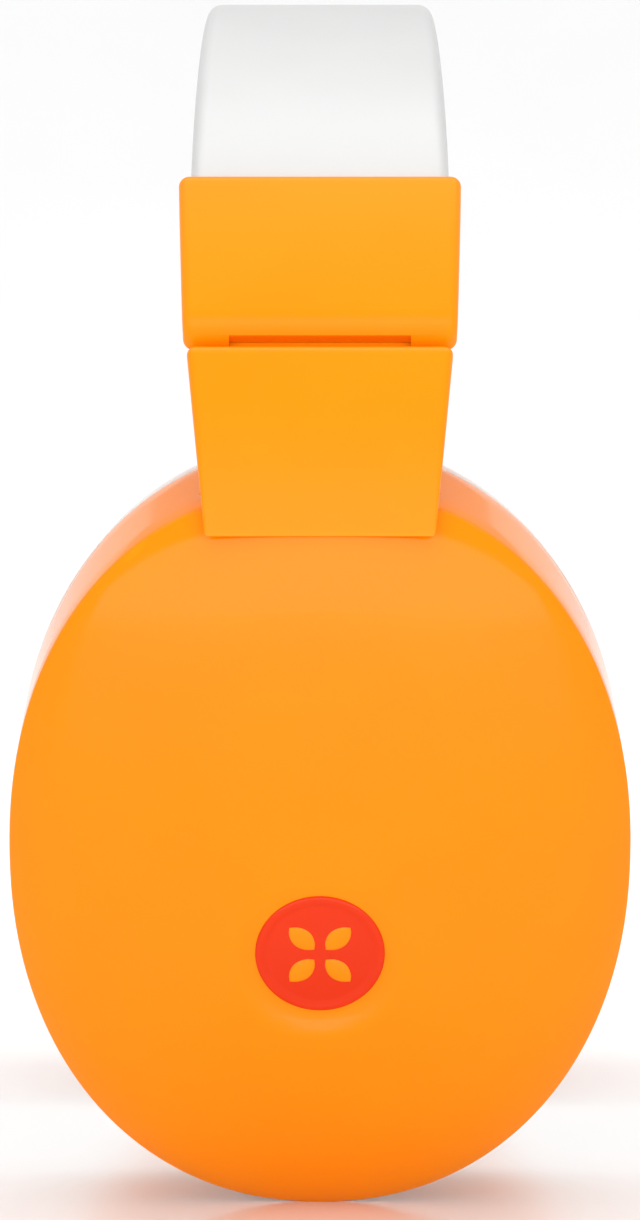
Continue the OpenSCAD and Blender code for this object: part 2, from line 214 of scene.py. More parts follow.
def refine(node, name, radius, segments=3):
    """A copy of a CAD node with its sharp edges rounded."""
    mesh = NODES[node].data.copy()
    mesh.name = name
    mesh.materials.clear()
    obj = bpy.data.objects.new(name, mesh)
    bpy.context.scene.collection.objects.link(obj)
    bm = bmesh.new()
    bm.from_mesh(mesh)
    bmesh.ops.remove_doubles(bm, verts=bm.verts, dist=WELD_GAP)
    bmesh.ops.dissolve_limit(bm, angle_limit=FLAT_ANGLE, verts=bm.verts, edges=bm.edges)
    sharp = [e for e in bm.edges if len(e.link_faces) == 2 and e.calc_face_angle(0) > EDGE_ANGLE]
    bmesh.ops.bevel(bm, geom=sharp, offset=radius * MM, offset_type="OFFSET", segments=segments,
                    profile=0.5, affect="EDGES", clamp_overlap=True)
    bm.to_mesh(mesh)
    bm.free()
    smooth(obj)
    return weighted(obj)


# ---------------------------------------------------------------- materials


class Shader:
    """A material's node tree, with short calls for the nodes used here."""

    def __init__(self, name, roughness, **constants):
        self.material = bpy.data.materials.new(name)
        self.material.use_nodes = True
        self.tree = self.material.node_tree
        self.bsdf = self.tree.nodes["Principled BSDF"]
        self.coords = self.tree.nodes.new("ShaderNodeTexCoord").outputs["Object"]
        self.set(Roughness=roughness, **constants)

    def set(self, **values):
        for key, value in values.items():
            self.bsdf.inputs[key.replace("_", " ")].default_value = value

    def link(self, a, b):
        self.tree.links.new(a, b)

    def stretch(self, scale):
        node = self.tree.nodes.new("ShaderNodeMapping")
        node.inputs["Scale"].default_value = scale
        self.link(self.coords, node.inputs["Vector"])
        return node.outputs["Vector"]

    def noise(self, scale, detail=3, rough=0.55, vector=None):
        node = self.tree.nodes.new("ShaderNodeTexNoise")
        node.inputs["Scale"].default_value = scale
        node.inputs["Detail"].default_value = detail
        node.inputs["Roughness"].default_value = rough
        self.link(vector or self.coords, node.inputs["Vector"])
        return node.outputs["Fac"]

    def cells(self, scale, feature="F1"):
        node = self.tree.nodes.new("ShaderNodeTexVoronoi")
        node.feature = feature
        node.inputs["Scale"].default_value = scale
        self.link(self.coords, node.inputs["Vector"])
        return node.outputs["Distance"]

    def wave(self, scale, direction, distortion=0.0):
        node = self.tree.nodes.new("ShaderNodeTexWave")
        node.bands_direction = direction
        node.inputs["Scale"].default_value = scale
        node.inputs["Distortion"].default_value = distortion
        self.link(self.coords, node.inputs["Vector"])
        return node.outputs["Fac"]

    def math(self, kind, a, b):
        node = self.tree.nodes.new("ShaderNodeMath")
        node.operation = kind
        for socket, value in zip(node.inputs, (a, b)):
            if isinstance(value, (int, float)):
                socket.default_value = value
            else:
                self.link(value, socket)
        return node.outputs[0]

    def span(self, value, low, high, a=0.3, b=0.7):
        """The value's range a to b, spread over low to high."""
        node = self.tree.nodes.new("ShaderNodeMapRange")
        for key, number in (("From Min", a), ("From Max", b), ("To Min", low), ("To Max", high)):
            node.inputs[key].default_value = number
        self.link(value, node.inputs["Value"])
        return node.outputs["Result"]

    def ramp(self, value, stops):
        node = self.tree.nodes.new("ShaderNodeValToRGB")
        ramp = node.color_ramp
        while len(ramp.elements) < len(stops):
            ramp.elements.new(0.5)
        for element, (place, colour) in zip(ramp.elements, stops):
            element.position = place
            element.color = (*colour, 1)
        self.link(value, node.inputs["Fac"])
        return node.outputs["Color"]

    def edges(self, a=0.52, b=0.6):
        """0 on flat parts, 1 on sharp outer edges, where the painted highlight goes."""
        node = self.tree.nodes.new("ShaderNodeNewGeometry")
        return self.span(node.outputs["Pointiness"], 0, 1, a, b)

    def bump(self, height, strength, distance, before=None):
        node = self.tree.nodes.new("ShaderNodeBump")
        node.inputs["Strength"].default_value = strength
        node.inputs["Distance"].default_value = distance
        self.link(height, node.inputs["Height"])
        if before:
            self.link(before, node.inputs["Normal"])
        self.link(node.outputs["Normal"], self.bsdf.inputs["Normal"])
        return node.outputs["Normal"]

    def colour(self, socket):
        self.link(socket, self.bsdf.inputs["Base Color"])

    def roughness(self, socket):
        self.link(socket, self.bsdf.inputs["Roughness"])


def plastic(name, dark, light, edge_highlight, rough, grain, **constants):
    """Moulded plastic: slight flow marks in the colour, fine skin, and a painted highlight lightening the
    sharp outer edges.
    """
    s = Shader(name, rough[0], **constants)
    flow = s.noise(38, 2)
    fine = s.noise(620, 3)
    body = s.span(flow, 0.2, 0.8)
    # The last colour, laid on the sharp outer edges, is a painted highlight.
    tone = s.math("ADD", s.math("MULTIPLY", body, 0.7), s.math("MULTIPLY", s.edges(), 0.3))
    s.colour(s.ramp(tone, [(0.0, dark), (0.7, light), (1.0, edge_highlight)]))
    s.roughness(s.span(s.math("ADD", s.math("MULTIPLY", flow, 0.6), s.math("MULTIPLY", fine, 0.4)), *rough))
    swell = s.bump(s.noise(150, 1), grain * 0.5, 0.0003)
    s.bump(fine, grain, 0.00008, swell)
    return s.material


def leatherette(name, dark, light):
    s = Shader(name, 0.5, Sheen_Weight=0.12, Sheen_Roughness=0.4, Specular_IOR_Level=0.4)
    soft = s.noise(55, 3)
    pebble = s.cells(820, "SMOOTH_F1")
    crease = s.noise(240, 5, 0.65)
    # The colour darkens in the low parts of the crease bump: painted shade in the creases, mixed with random
    # tone.
    shade = s.math("ADD", s.math("MULTIPLY", soft, 0.6), s.math("MULTIPLY", crease, 0.4))
    s.colour(s.ramp(shade, [(0.35, dark), (0.62, light)]))
    s.roughness(s.span(s.math("ADD", pebble, s.math("MULTIPLY", crease, 0.5)), 0.42, 0.6, 0.2, 0.8))
    folds = s.bump(crease, 0.25, 0.0004)
    s.bump(pebble, 0.35, 0.00022, folds)
    return s.material


def metal(name, dark, light):
    s = Shader(name, 0.3, Metallic=1.0)
    brush = s.noise(220, 4, 0.7, s.stretch((1, 0.06, 1)))
    blotch = s.noise(130, 2)
    s.colour(s.ramp(blotch, [(0.3, dark), (0.7, light)]))
    s.roughness(s.span(brush, 0.24, 0.42))
    s.bump(brush, 0.15, 0.00005)
    return s.material


def foam(name, dark, light):
    s = Shader(name, 0.95, Specular_IOR_Level=0.15)
    pores = s.cells(520, "DISTANCE_TO_EDGE")
    s.colour(s.ramp(s.math("MULTIPLY", pores, 2.2), [(0.05, light), (0.5, dark)]))
    s.bump(pores, 0.9, 0.0006)
    return s.material


def knit(name, dark, light):
    s = Shader(name, 0.9, Sheen_Weight=0.25, Specular_IOR_Level=0.2)
    mesh = s.math("MULTIPLY", s.wave(260, "Y", 0.5), s.wave(260, "Z", 0.5))
    fuzz = s.noise(900, 3)
    s.colour(s.ramp(s.math("ADD", mesh, s.math("MULTIPLY", fuzz, 0.3)), [(0.15, dark), (0.75, light)]))
    s.bump(mesh, 0.8, 0.0005)
    return s.material


# Each plastic gives a dark tone, a light tone and the lighter colour of its painted edge highlight.
MATERIAL = {
    "orange_gloss": plastic("orange_gloss", (0.98, 0.254, 0.0), (1.0, 0.274, 0.0), (1.0, 0.31, 0.002),
                            (0.07, 0.11), 0.04, Specular_IOR_Level=0.17),
    "orange_satin": plastic("orange_satin", (0.98, 0.275, 0.0), (1.0, 0.300, 0.002), (1.0, 0.35, 0.01),
                            (0.30, 0.38), 0.1, Specular_IOR_Level=0.14),
    "band_white": plastic("band_white", (0.59, 0.59, 0.585), (0.62, 0.62, 0.615), (0.68, 0.68, 0.675),
                          (0.36, 0.46), 0.12),
    "nylon": plastic("nylon", (0.74, 0.735, 0.70), (0.80, 0.795, 0.765), (0.86, 0.86, 0.84),
                     (0.40, 0.52), 0.2, Subsurface_Weight=0.06, Subsurface_Scale=0.002),
    "emblem_red": plastic("emblem_red", (0.72, 0.026, 0.0), (0.80, 0.036, 0.0), (0.88, 0.08, 0.005),
                          (0.16, 0.24), 0.06, Specular_IOR_Level=0.25),
    "pad_white": leatherette("pad_white", (0.78, 0.775, 0.755), (0.86, 0.855, 0.84)),
    "cushion_white": leatherette("cushion_white", (0.76, 0.75, 0.73), (0.85, 0.845, 0.83)),
    "steel": metal("steel", (0.50, 0.51, 0.53), (0.66, 0.67, 0.69)),
    "foam_grey": foam("foam_grey", (0.03, 0.03, 0.033), (0.10, 0.10, 0.108)),
    "screen_grey": knit("screen_grey", (0.02, 0.02, 0.022), (0.085, 0.085, 0.09)),
}

# ---------------------------------------------------------------- pairing the two sides


def dress(obj, slot):
    obj.data.materials.clear()
    obj.data.materials.append(MATERIAL[slot])


def mirrored(obj, name):
    """The left copy of a right-hand piece."""
    mesh = obj.data.copy()
    mesh.transform(Matrix.Scale(-1, 4, (1, 0, 0)))
    mesh.flip_normals()
    twin = bpy.data.objects.new(name, mesh)
    bpy.context.scene.collection.objects.link(twin)
    if any(m.type == "WEIGHTED_NORMAL" for m in obj.modifiers):
        weighted(twin)
    return twin


def pair(obj, body, slot, *stands_for, padded=None):
    """Puts a right-hand piece and its mirrored twin on their bodies."""
    base = obj.name
    obj.name = base + "_right_look"
    twin = mirrored(obj, base + "_left_look")
    for piece, side in ((obj, "right"), (twin, "left")):
        dress(piece, slot)
        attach(piece, f"{body}_{side}")
        for node in stands_for:
            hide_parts(f"{node}_{side}")
    return obj, twin


# ---------------------------------------------------------------- cups


def dome_u(q):
    return COVER_U + DOME_RISE * max(0.0, 1 - q ** DOME_EXP) ** (1 / DOME_ROUND)


def cup_body():
    in_w, in_h = CUP_W - 2 * SKIN, CUP_H - 2 * SKIN
    bulkhead = [(0, 0), (0.5, 0), (0.97, 0), (0.99, 0.15), (1, 0.6)]
    rings = [oval_ring(in_w * k, in_h * k, BULK_HIGH + rise) for k, rise in bulkhead]
    top = [(SKIN, 0.4), (SKIN - 0.1, 0.12), (SKIN - 0.4, 0)]
    top += [(0.75, 0), (0.45, 0.06), (0.2, 0.22), (0.06, 0.45), (0, 0.8)]
    wall = [(d, WALL_U - drop) for d, drop in top]
    wall += [(0, 15), (0, 10), (0, 5), (0, 1.4), (0.08, 0.9), (0.3, 0.42), (0.65, 0.12), (1.1, 0)]
    wall += [(SKIN - 0.3, 0), (SKIN - 0.06, 0.1), (SKIN, 0.4), (SKIN, 4)]
    wall += [(SKIN, BULK_LOW - 0.5), (SKIN + 0.3, BULK_LOW)]
    rings += [oval_ring(CUP_W - 2 * d, CUP_H - 2 * d, u) for d, u in wall]
    rings += [oval_ring(in_w * 0.5, in_h * 0.5, BULK_LOW), oval_ring(0, 0, BULK_LOW)]
    obj = add_mesh("cup_body", *skin_rings(rings))
    cut(obj, *notch_cutters())
    return smooth(obj, 30)


def dish(y, w, u):
    """The soft round dish for the emblem, sunk in the dome and leaning a little down."""
    r = math.hypot(y, w - EMBLEM_W)
    if r >= DISH_EDGE:
        return u
    floor = dome_u(abs(EMBLEM_W) * 2 / CUP_H) - DISH_DEPTH + DISH_TILT * (w - EMBLEM_W)
    return u + (min(floor, u) - u) * ease((DISH_EDGE - r) / (DISH_EDGE - DISH_R))


def cup_cover():
    count, n = 76, 176
    last_q = 0.992
    rings = [[cup_point(0, 0, dish(0, 0, dome_u(0)))]]
    for k in range(1, count):
        q = last_q * math.sin(math.pi / 2 * k / (count - 1))
        ring = []
        for i in range(n):
            y, w = oval(2 * math.pi * i / n, CUP_W * q, CUP_H * q)
            ring.append(cup_point(y, w, dish(y, w, dome_u(q))))
        rings.append(ring)
    edge = [(0.16, 0.3), (0.04, 0.18), (0, 0.1), (0.05, 0.02), (0.3, 0), (SKIN - 0.2, 0), (SKIN, 0.2)]
    rings += [oval_ring(CUP_W - 2 * d, CUP_H - 2 * d, COVER_U + u, n) for d, u in edge]
    for q in (0.9, 0.7, 0.4):
        rings.append(oval_ring((CUP_W - 2 * SKIN) * q, (CUP_H - 2 * SKIN) * q, dome_u(q) - SKIN, n))
    rings.append([cup_point(0, 0, dome_u(0) - SKIN)])
    obj = add_mesh("cup_cover", *skin_rings(rings))
    cut(obj, *notch_cutters())
    return smooth(obj, 38)


def emblem():
    """A plain inlay disc with a raised rim, and the function that places points on it."""
    n = 96
    base = dome_u(abs(EMBLEM_W) * 2 / CUP_H) - DISH_DEPTH
    profile = [(0, INLAY_H), (2.0, INLAY_H), (6.4, 0.36), (6.9, 0.2), (7.3, 0.2), (7.7, INLAY_H)]
    profile += [(8.2, INLAY_H), (8.45, 0.34), (EMBLEM_R, 0.15), (EMBLEM_R, -0.3), (0, -0.3)]

    def at(r, h, a):
        y, w = r * math.cos(a), r * math.sin(a)
        return cup_point(y, EMBLEM_W + w, base + DISH_TILT * w + h)

    rings = [[at(r, h, 2 * math.pi * i / n) for i in range(n)] if r else [at(0, h, 0)] for r, h in profile]
    return smooth(add_mesh("emblem", *skin_rings(rings)), 40), at


def petals(at):
    """Four raised leaf shapes round the middle of the emblem, in one mesh."""
    start, length, widest, rise = 1.1, 4.6, 1.35, 0.28
    steps, sides = 12, 10
    verts, faces = [], []
    for k in range(4):
        turn = math.pi / 4 + k * math.pi / 2
        rings = []
        for j in range(steps + 1):
            t = j / steps
            r = start + length * t
            half = widest * math.sin(math.pi * t) ** 0.7 + 0.02
            ring = []
            for i in range(sides):
                b = 2 * math.pi * i / sides
                side, up = half * math.cos(b), rise * math.sin(b) * (0.3 + math.sin(math.pi * t))
                a = turn + math.atan2(side, r)
                ring.append(at(math.hypot(side, r), INLAY_H + up, a))
            rings.append(ring)
        v, f = skin_rings(rings, caps=True)
        faces += [[i + len(verts) for i in face] for face in f]
        verts += v
    return smooth(add_mesh("emblem_petals", verts, faces), 60)


pair(cup_body(), "cup", "orange_gloss", "cup_body")
pair(cup_cover(), "cup", "orange_gloss", "cup_cover")
disc, emblem_at = emblem()
pair(disc, "cup", "emblem_red", "emblem")
pair(petals(emblem_at), "cup", "orange_gloss")

# ---------------------------------------------------------------- headband


def band_width(a):
    """The band is narrower at its crown than at its ends."""
    return BAND_W_CROWN + (BAND_W_END - BAND_W_CROWN) * ease(abs(a - 90) / (90 - BAND_END))


def corner(r0, y0, radius, start, steps=7):
    """Points of a rounded corner in the radius and width plane, turning a quarter."""
    return [(r0 + radius * math.cos(start + math.pi / 2 * i / steps),
             y0 + radius * math.sin(start + math.pi / 2 * i / steps)) for i in range(steps + 1)]


def band_sweep(name, section, steps=120):
    """Sweeps a section along the arch; both ends are drawn in a little to round them."""
    rings = []
    tips = [(0, 0.5), (0.12, 0.22), (0.3, 0.06), (0.55, 0)]
    first = 0.8
    span = 180 - 2 * (BAND_END + first)
    angles = [(BAND_END + d, s) for d, s in tips]
    angles += [(BAND_END + first + span * i / steps, 0) for i in range(steps + 1)]
    angles += [(180 - BAND_END - d, s) for d, s in reversed(tips)]
    for a, shrink in angles:
        rings.append([arch_point(r, a, y) for r, y in section(band_width(a), shrink)])
    return smooth(add_mesh(name, *skin_rings(rings, caps=True)), 35)


def shell_section(width, shrink):
    half, out, lip, r = width / 2 - shrink, BAND_OUT - shrink, LINER_R + 0.02, 2.0
    side = corner(out - r, half - r, r, 0)
    side += [(lip + 0.35, half), (lip, half - 0.35)]
    side += [(lip, CHANNEL_W / 2 + 0.2), (lip + 0.2, CHANNEL_W / 2), (CHANNEL_R - 0.4, CHANNEL_W / 2),
             (CHANNEL_R, CHANNEL_W / 2 - 0.4)]
    return side + [(r_, -y) for r_, y in reversed(side)]


def liner_section(width, shrink):
    half, low, top, r = width / 2 - shrink, BAND_IN + shrink, LINER_R - 0.05, 1.3
    side = [(top, half - 0.3), (top - 0.3, half)]
    side += [(r_, y) for r_, y in corner(low + r, half - r, r, math.pi / 2)]
    return side + [(r_, -y) for r_, y in reversed(side)]


for name, section in (("headband_shell", shell_section), ("headband_liner", liner_section)):
    piece = weighted(band_sweep(name + "_look", section))
    dress(piece, "band_white")
    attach(piece, "headband")
    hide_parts(name)

# ---------------------------------------------------------------- housings and arms

HINGE_A = math.atan2(PIN_Z - ARCH_Z, PIN_X)
PIN_REACH = math.hypot(PIN_X, PIN_Z - ARCH_Z)
HOUSE_OUT = 88.6
HINGE_R = 3.3
HOUSE_IN = PIN_REACH - HINGE_R
FACE = HOUSE_OUT - PIN_REACH
STEM_IN, STEM_OUT = 81.9, 84.1
STEM_LOW, POCKET_LOW, HOUSE_TOP = 29.55, 37.6, 41.3
TONGUE_W, BORE_R = 24.0, 1.55
HOUSE_W_TOP, HOUSE_W_LOW, ARM_W_LOW = 38.2, 35.4, 29.4
ARM_R, ARM_SHELL, ARM_TOP = 67.0, 5.6, 3.8
ARM_END_R, EYE_R, EYE_W = 9.05, 4.4, 12.0
ROLL_R, LIP_R, ARM_LIP_R = 4.6, 1.7, 1.4
COVER_BEVEL = 0.4
SLOT_TOP = 1.3 - HINGE_R
BEYOND = 20
ARM_X = PIN_X + (FACE - ARM_R) * math.cos(HINGE_A) + ARM_TOP * math.sin(HINGE_A)
ARM_Z = PIN_Z + (FACE - ARM_R) * math.sin(HINGE_A) - ARM_TOP * math.cos(HINGE_A)


def at_hinge(out, up):
    """A point in the hinge's frame: outwards, and up along the housing, from the fold pin."""
    c, s = math.cos(HINGE_A), math.sin(HINGE_A)
    return (PIN_X + out * c - up * s, PIN_Z + out * s + up * c)


def on_arc(cx, cz, r, a0, a1, n):
    """Points of an arc, with its angles in degrees."""
    angles = [math.radians(a0 + (a1 - a0) * k / n) for k in range(n + 1)]
    return [(cx + r * math.cos(a), cz + r * math.sin(a)) for a in angles]


def lip_corner(cx, cz, r_out, a_top, radius, inset, n=8):
    """The rounded corner between an outer arc and a radial top face."""
    a = math.radians(a_top) - radius / (r_out - radius)
    mx, mz = cx + (r_out - radius) * math.cos(a), cz + (r_out - radius) * math.sin(a)
    turn = math.degrees(a)
    return on_arc(mx, mz, max(radius - inset, 0.05), turn, turn + 90, n)


def housing_outline(inset):
    pin_deg = math.degrees(HINGE_A)
    points = on_arc(*at_hinge(FACE - ROLL_R, ROLL_R - HINGE_R), ROLL_R - inset, pin_deg - 90, pin_deg, 14)
    lip = lip_corner(0, ARCH_Z, HOUSE_OUT, HOUSE_TOP, LIP_R, inset)
    points += on_arc(0, ARCH_Z, HOUSE_OUT - inset, pin_deg + 1.0, HOUSE_TOP - 1.5, 24) + lip
    inner, step = STEM_IN + inset, STEM_LOW - 0.6 - math.degrees(inset / STEM_IN)
    top = HOUSE_TOP - math.degrees(inset / HOUSE_OUT)
    points += on_arc(0, ARCH_Z, inner, top, step, 16)
    points += on_arc(0, ARCH_Z, HOUSE_IN + inset, step, pin_deg, 5)
    points += on_arc(PIN_X, PIN_Z, HINGE_R - inset, pin_deg + 180, pin_deg + 270, 10)[1:]
    return points


def circle_meets(r):
    """The angle on the arm's bend, at a radius, where the end round the pivot cuts it."""
    low, high = 0.0, 20.0
    for _ in range(40):
        mid = math.radians((low + high) / 2)
        far = math.hypot(ARM_X + r * math.cos(mid) - PIVOT_X, ARM_Z + r * math.sin(mid) - PIVOT_Z) > ARM_END_R
        low, high = (low, (low + high) / 2) if far else ((low + high) / 2, high)
    return (low + high) / 2


def arm_outline(inset):
    top, inner = math.degrees(HINGE_A), ARM_R - ARM_SHELL + min(inset, 0.4)
    low_out, low_in = circle_meets(ARM_R - 0.25 * inset), circle_meets(inner)
    points = []
    for x, z in on_arc(ARM_X, ARM_Z, ARM_R, low_out, top - 1.5, 30):
        k = (ARM_R - inset * arm_ease(z)) / ARM_R
        points.append((ARM_X + (x - ARM_X) * k, ARM_Z + (z - ARM_Z) * k))
    points += lip_corner(ARM_X, ARM_Z, ARM_R, top, ARM_LIP_R, inset)
    points += on_arc(ARM_X, ARM_Z, inner, top - math.degrees(inset / ARM_R), low_in, 20)
    ends = [math.atan2(ARM_Z + r * math.sin(math.radians(a)) - PIVOT_Z,
                       ARM_X + r * math.cos(math.radians(a)) - PIVOT_X)
            for r, a in ((inner, low_in), (ARM_R - 0.25 * inset, low_out))]
    turn = [math.degrees(e) for e in ends]
    return points + on_arc(PIVOT_X, PIVOT_Z, ARM_END_R, turn[0], turn[1], 8)[1:-1]


def arm_ease(z):
    """The arm's rims get sharper towards its lower end, where it meets the cup."""
    t = min(1.0, max(0.0, (z - PIVOT_Z - 3) / 14))
    return 0.25 + 0.75 * t


def rounded_slab(name, outline, half_width, radius, rim=lambda z: 1.0, steps=7):
    """An X-Z outline made thick along Y, with rounded rims; half_width is a function of height."""
    layers = [(radius * (1 - math.sin(t)), radius * (1 - math.cos(t)))
              for t in (math.pi / 2 * k / steps for k in range(steps + 1))]
    rings = []
    for side in (-1, 1):
        for inset, off in (layers if side < 0 else reversed(layers)):
            rings.append([Vector((x, side * (half_width(z) - off * rim(z)), z)) * MM
                          for x, z in outline(inset)])
    return add_mesh(name, *skin_rings(rings, caps=True))


def tapered(z_low, w_low, z_high, w_high):
    """A half width that changes evenly from one height to another."""
    return lambda z: (w_low + (w_high - w_low) * (z - z_low) / (z_high - z_low)) / 2


def ring_sector(name, r_in, r_out, a0, a1, width):
    """A cutter bent about the centre of the arch."""
    return slab(name, on_arc(0, ARCH_Z, r_out, a0, a1, 24) + on_arc(0, ARCH_Z, r_in, a1, a0, 24), width)


def drill(name, cx, cz, angle, r_from, r_to, y, radius):
    """A round cutter that points outwards from a bend's centre."""
    a = math.radians(angle)
    rings = []
    for r in (r_from, r_to):
        ring = []
        for k in range(24):
            t = 2 * math.pi * k / 24
            side, up = radius * math.cos(t), radius * math.sin(t)
            ring.append(Vector((cx + r * math.cos(a) - up * math.sin(a), y + side,
                                cz + r * math.sin(a) + up * math.cos(a))) * MM)
        rings.append(ring)
    return add_mesh(name, *skin_rings(rings, caps=True))


def join_solid(obj, *others):
    for other in others:
        mod = obj.modifiers.new("join", "BOOLEAN")
        mod.operation = "UNION"
        mod.solver = "EXACT"
        mod.object = other
    apply_all(obj)
    for other in others:
        bpy.data.objects.remove(other)
    return obj


def hinge_block(name, out0, out1, up0, up1, width):
    """A block in the hinge's frame, between two places outwards and two places up."""
    corners = ((out0, up0), (out1, up0), (out1, up1), (out0, up1))
    return slab(name, [at_hinge(out, up) for out, up in corners], width)


def bore(name, x, z, width):
    """A round cutter along Y for a hinge pin."""
    return slab(name, on_arc(x, z, BORE_R, 0, 350, 35), width)


def housing_outer():
    top_z = ARCH_Z + HOUSE_OUT * math.sin(math.radians(HOUSE_TOP)) + 1
    half = tapered(PIN_Z - 10, HOUSE_W_LOW, top_z, HOUSE_W_TOP)
    obj = rounded_slab("housing_outer", housing_outline, half, 1.5)
    pocket_w, stem_w, pin_length = BAND_W_END + 0.8, 24.4, 33.2
    room = HINGE_R + 0.2
    screw_angle, screw_r, screw_y = 33.8, 1.2, 7
    pocket = ring_sector("pocket", BAND_IN - 0.4, BAND_OUT + 0.4, POCKET_LOW, HOUSE_TOP + 6, pocket_w)
    stem_room = ring_sector("stem_room", STEM_IN - 0.05, STEM_OUT + 0.1, STEM_LOW - 0.3,
                            POCKET_LOW + 2, stem_w)
    cutters = [pocket, stem_room,
               hinge_block("tongue_room", -BEYOND, room, -BEYOND, room, TONGUE_W + 0.6),
               hinge_block("slot", 0.1, BEYOND, -BEYOND, SLOT_TOP, TONGUE_W),
               bore("pin_bore", PIN_X, PIN_Z, pin_length)]
    cutters += [drill("screw", 0, ARCH_Z, screw_angle, STEM_IN - 1.3, STEM_IN + 4.5, y, screw_r)
                for y in (-screw_y, screw_y)]
    trim_w, trim_y = 6, 19.9
    for side in (-1, 1):
        trim = hinge_block("trim", -6, 3.4, -6, 0.8, trim_w)
        trim.data.transform(Matrix.Translation((0, side * trim_y * MM, 0)))
        cutters.append(trim)
    return weighted(smooth(cut(obj, *cutters), 30))


def arm():
    top_z = PIN_Z - ARM_TOP * math.cos(HINGE_A) + FACE * math.sin(HINGE_A)
    half = tapered(PIVOT_Z, ARM_W_LOW, top_z, HOUSE_W_LOW)
    shell = rounded_slab("arm", arm_outline, half, 1.3, arm_ease)
    tongue_r, tongue_low = 3.2, -4.8
    turn = math.degrees(HINGE_A)
    tongue = [at_hinge(-tongue_r, tongue_low), at_hinge(tongue_r, tongue_low)]
    tongue += on_arc(PIN_X, PIN_Z, tongue_r, turn, turn + 180, 24)
    web_in, web_out, web_top = PIVOT_X - 2.6, PIVOT_X + 3.6, PIVOT_Z + 13
    web = [(web_in, PIVOT_Z), (web_out, PIVOT_Z), (web_out, web_top), (web_in, web_top)]
    join_solid(shell, slab("tongue", tongue, TONGUE_W), slab("web", web, EYE_W),
               slab("eye", on_arc(PIVOT_X, PIVOT_Z, EYE_R, 0, 352.5, 47), EYE_W))
    right_through = 60
    cutters = [bore("pin_bore", PIN_X, PIN_Z, right_through),
               bore("pivot_bore", PIVOT_X, PIVOT_Z, right_through)]
    screw_angle, screw_r, screw_y = 17.3, 1.2, 8
    cutters += [drill("screw", ARM_X, ARM_Z, screw_angle, ARM_R - ARM_SHELL - 1, ARM_R - 2, y, screw_r)
                for y in (-screw_y, screw_y)]
    return weighted(smooth(cut(shell, *cutters), 30))


pair(housing_outer(), "slider", "orange_satin", "housing_outer")
pair(refine("housing_inner_right", "housing_inner", COVER_BEVEL), "slider", "orange_satin", "housing_inner")
pair(arm(), "arm", "orange_satin", "arm")
pair(refine("arm_cover_right", "arm_cover", COVER_BEVEL), "arm", "orange_satin", "arm_cover")

# ---------------------------------------------------------------- CAD nodes kept, with rounded edges

KEPT = {"slider_stem": (0.25, "nylon"), "housing_screws": (0.1, "steel"), "fold_pin": (0.25, "steel"),
        "arm_screws": (0.1, "steel"), "pivot_pin": (0.25, "steel"), "pivot_bracket": (0.3, "nylon"),
        "bracket_screws": (0.1, "steel"), "cover_screws": (0.1, "steel"), "foam_insert": (0.8, "foam_grey"),
        "cushion_plate": (0.5, "band_white"), "cushion_screen": (0.3, "screen_grey")}
for base, (radius, slot) in KEPT.items():
    for side in ("right", "left"):
        node = NODES[f"{base}_{side}"]
        node.data.shade_smooth()
        weld = node.modifiers.new("weld", "WELD")
        weld.merge_threshold = WELD_GAP
        flat = node.modifiers.new("flat", "DECIMATE")
        flat.decimate_type = "DISSOLVE"
        flat.angle_limit = FLAT_ANGLE
        bevel = node.modifiers.new("bevel", "BEVEL")
        bevel.width = radius * MM
        bevel.segments = 2
        bevel.limit_method = "ANGLE"
        bevel.angle_limit = EDGE_ANGLE
        bevel.harden_normals = True
        node.data.materials.clear()
        node.data.materials.append(MATERIAL[slot])

# ---------------------------------------------------------------- soft goods


def inflate(obj, voxel, held, cap, pressure=4.0, frames=20):
    """Remeshes a closed form and lets cloth under pressure fill it out; held names the fixed points."""
    mod = obj.modifiers.new("remesh", "REMESH")
    mod.mode = "VOXEL"
    mod.voxel_size = voxel * MM
    apply_all(obj)
    before = [v.co.copy() for v in obj.data.vertices]
    pin = obj.vertex_groups.new(name="held")
    pin.add([v.index for v in obj.data.vertices if held(v.co / MM)], 1.0, "REPLACE")
    cloth = obj.modifiers.new("cloth", "CLOTH")
    settings = cloth.settings
    settings.quality = 5
    settings.mass = 0.3
    settings.tension_stiffness = settings.compression_stiffness = 25
    settings.bending_stiffness = 0.8
    settings.use_pressure = True
    settings.uniform_pressure_force = pressure
    settings.effector_weights.gravity = 0
    settings.vertex_group_mass = "held"
    cloth.point_cache.frame_start, cloth.point_cache.frame_end = 1, frames
    scene = bpy.context.scene
    for f in range(1, frames + 1):
        scene.frame_set(f)
    apply_all(obj)
    scene.frame_set(1)
    for v, old in zip(obj.data.vertices, before):
        move = v.co - old
        if move.length > cap * MM:
            v.co = old + move * (cap * MM / move.length)
    obj.vertex_groups.clear()
    sub = obj.modifiers.new("subdivide", "SUBSURF")
    sub.levels = sub.render_levels = 2
    apply_all(obj)
    obj.data.shade_smooth()
    return obj


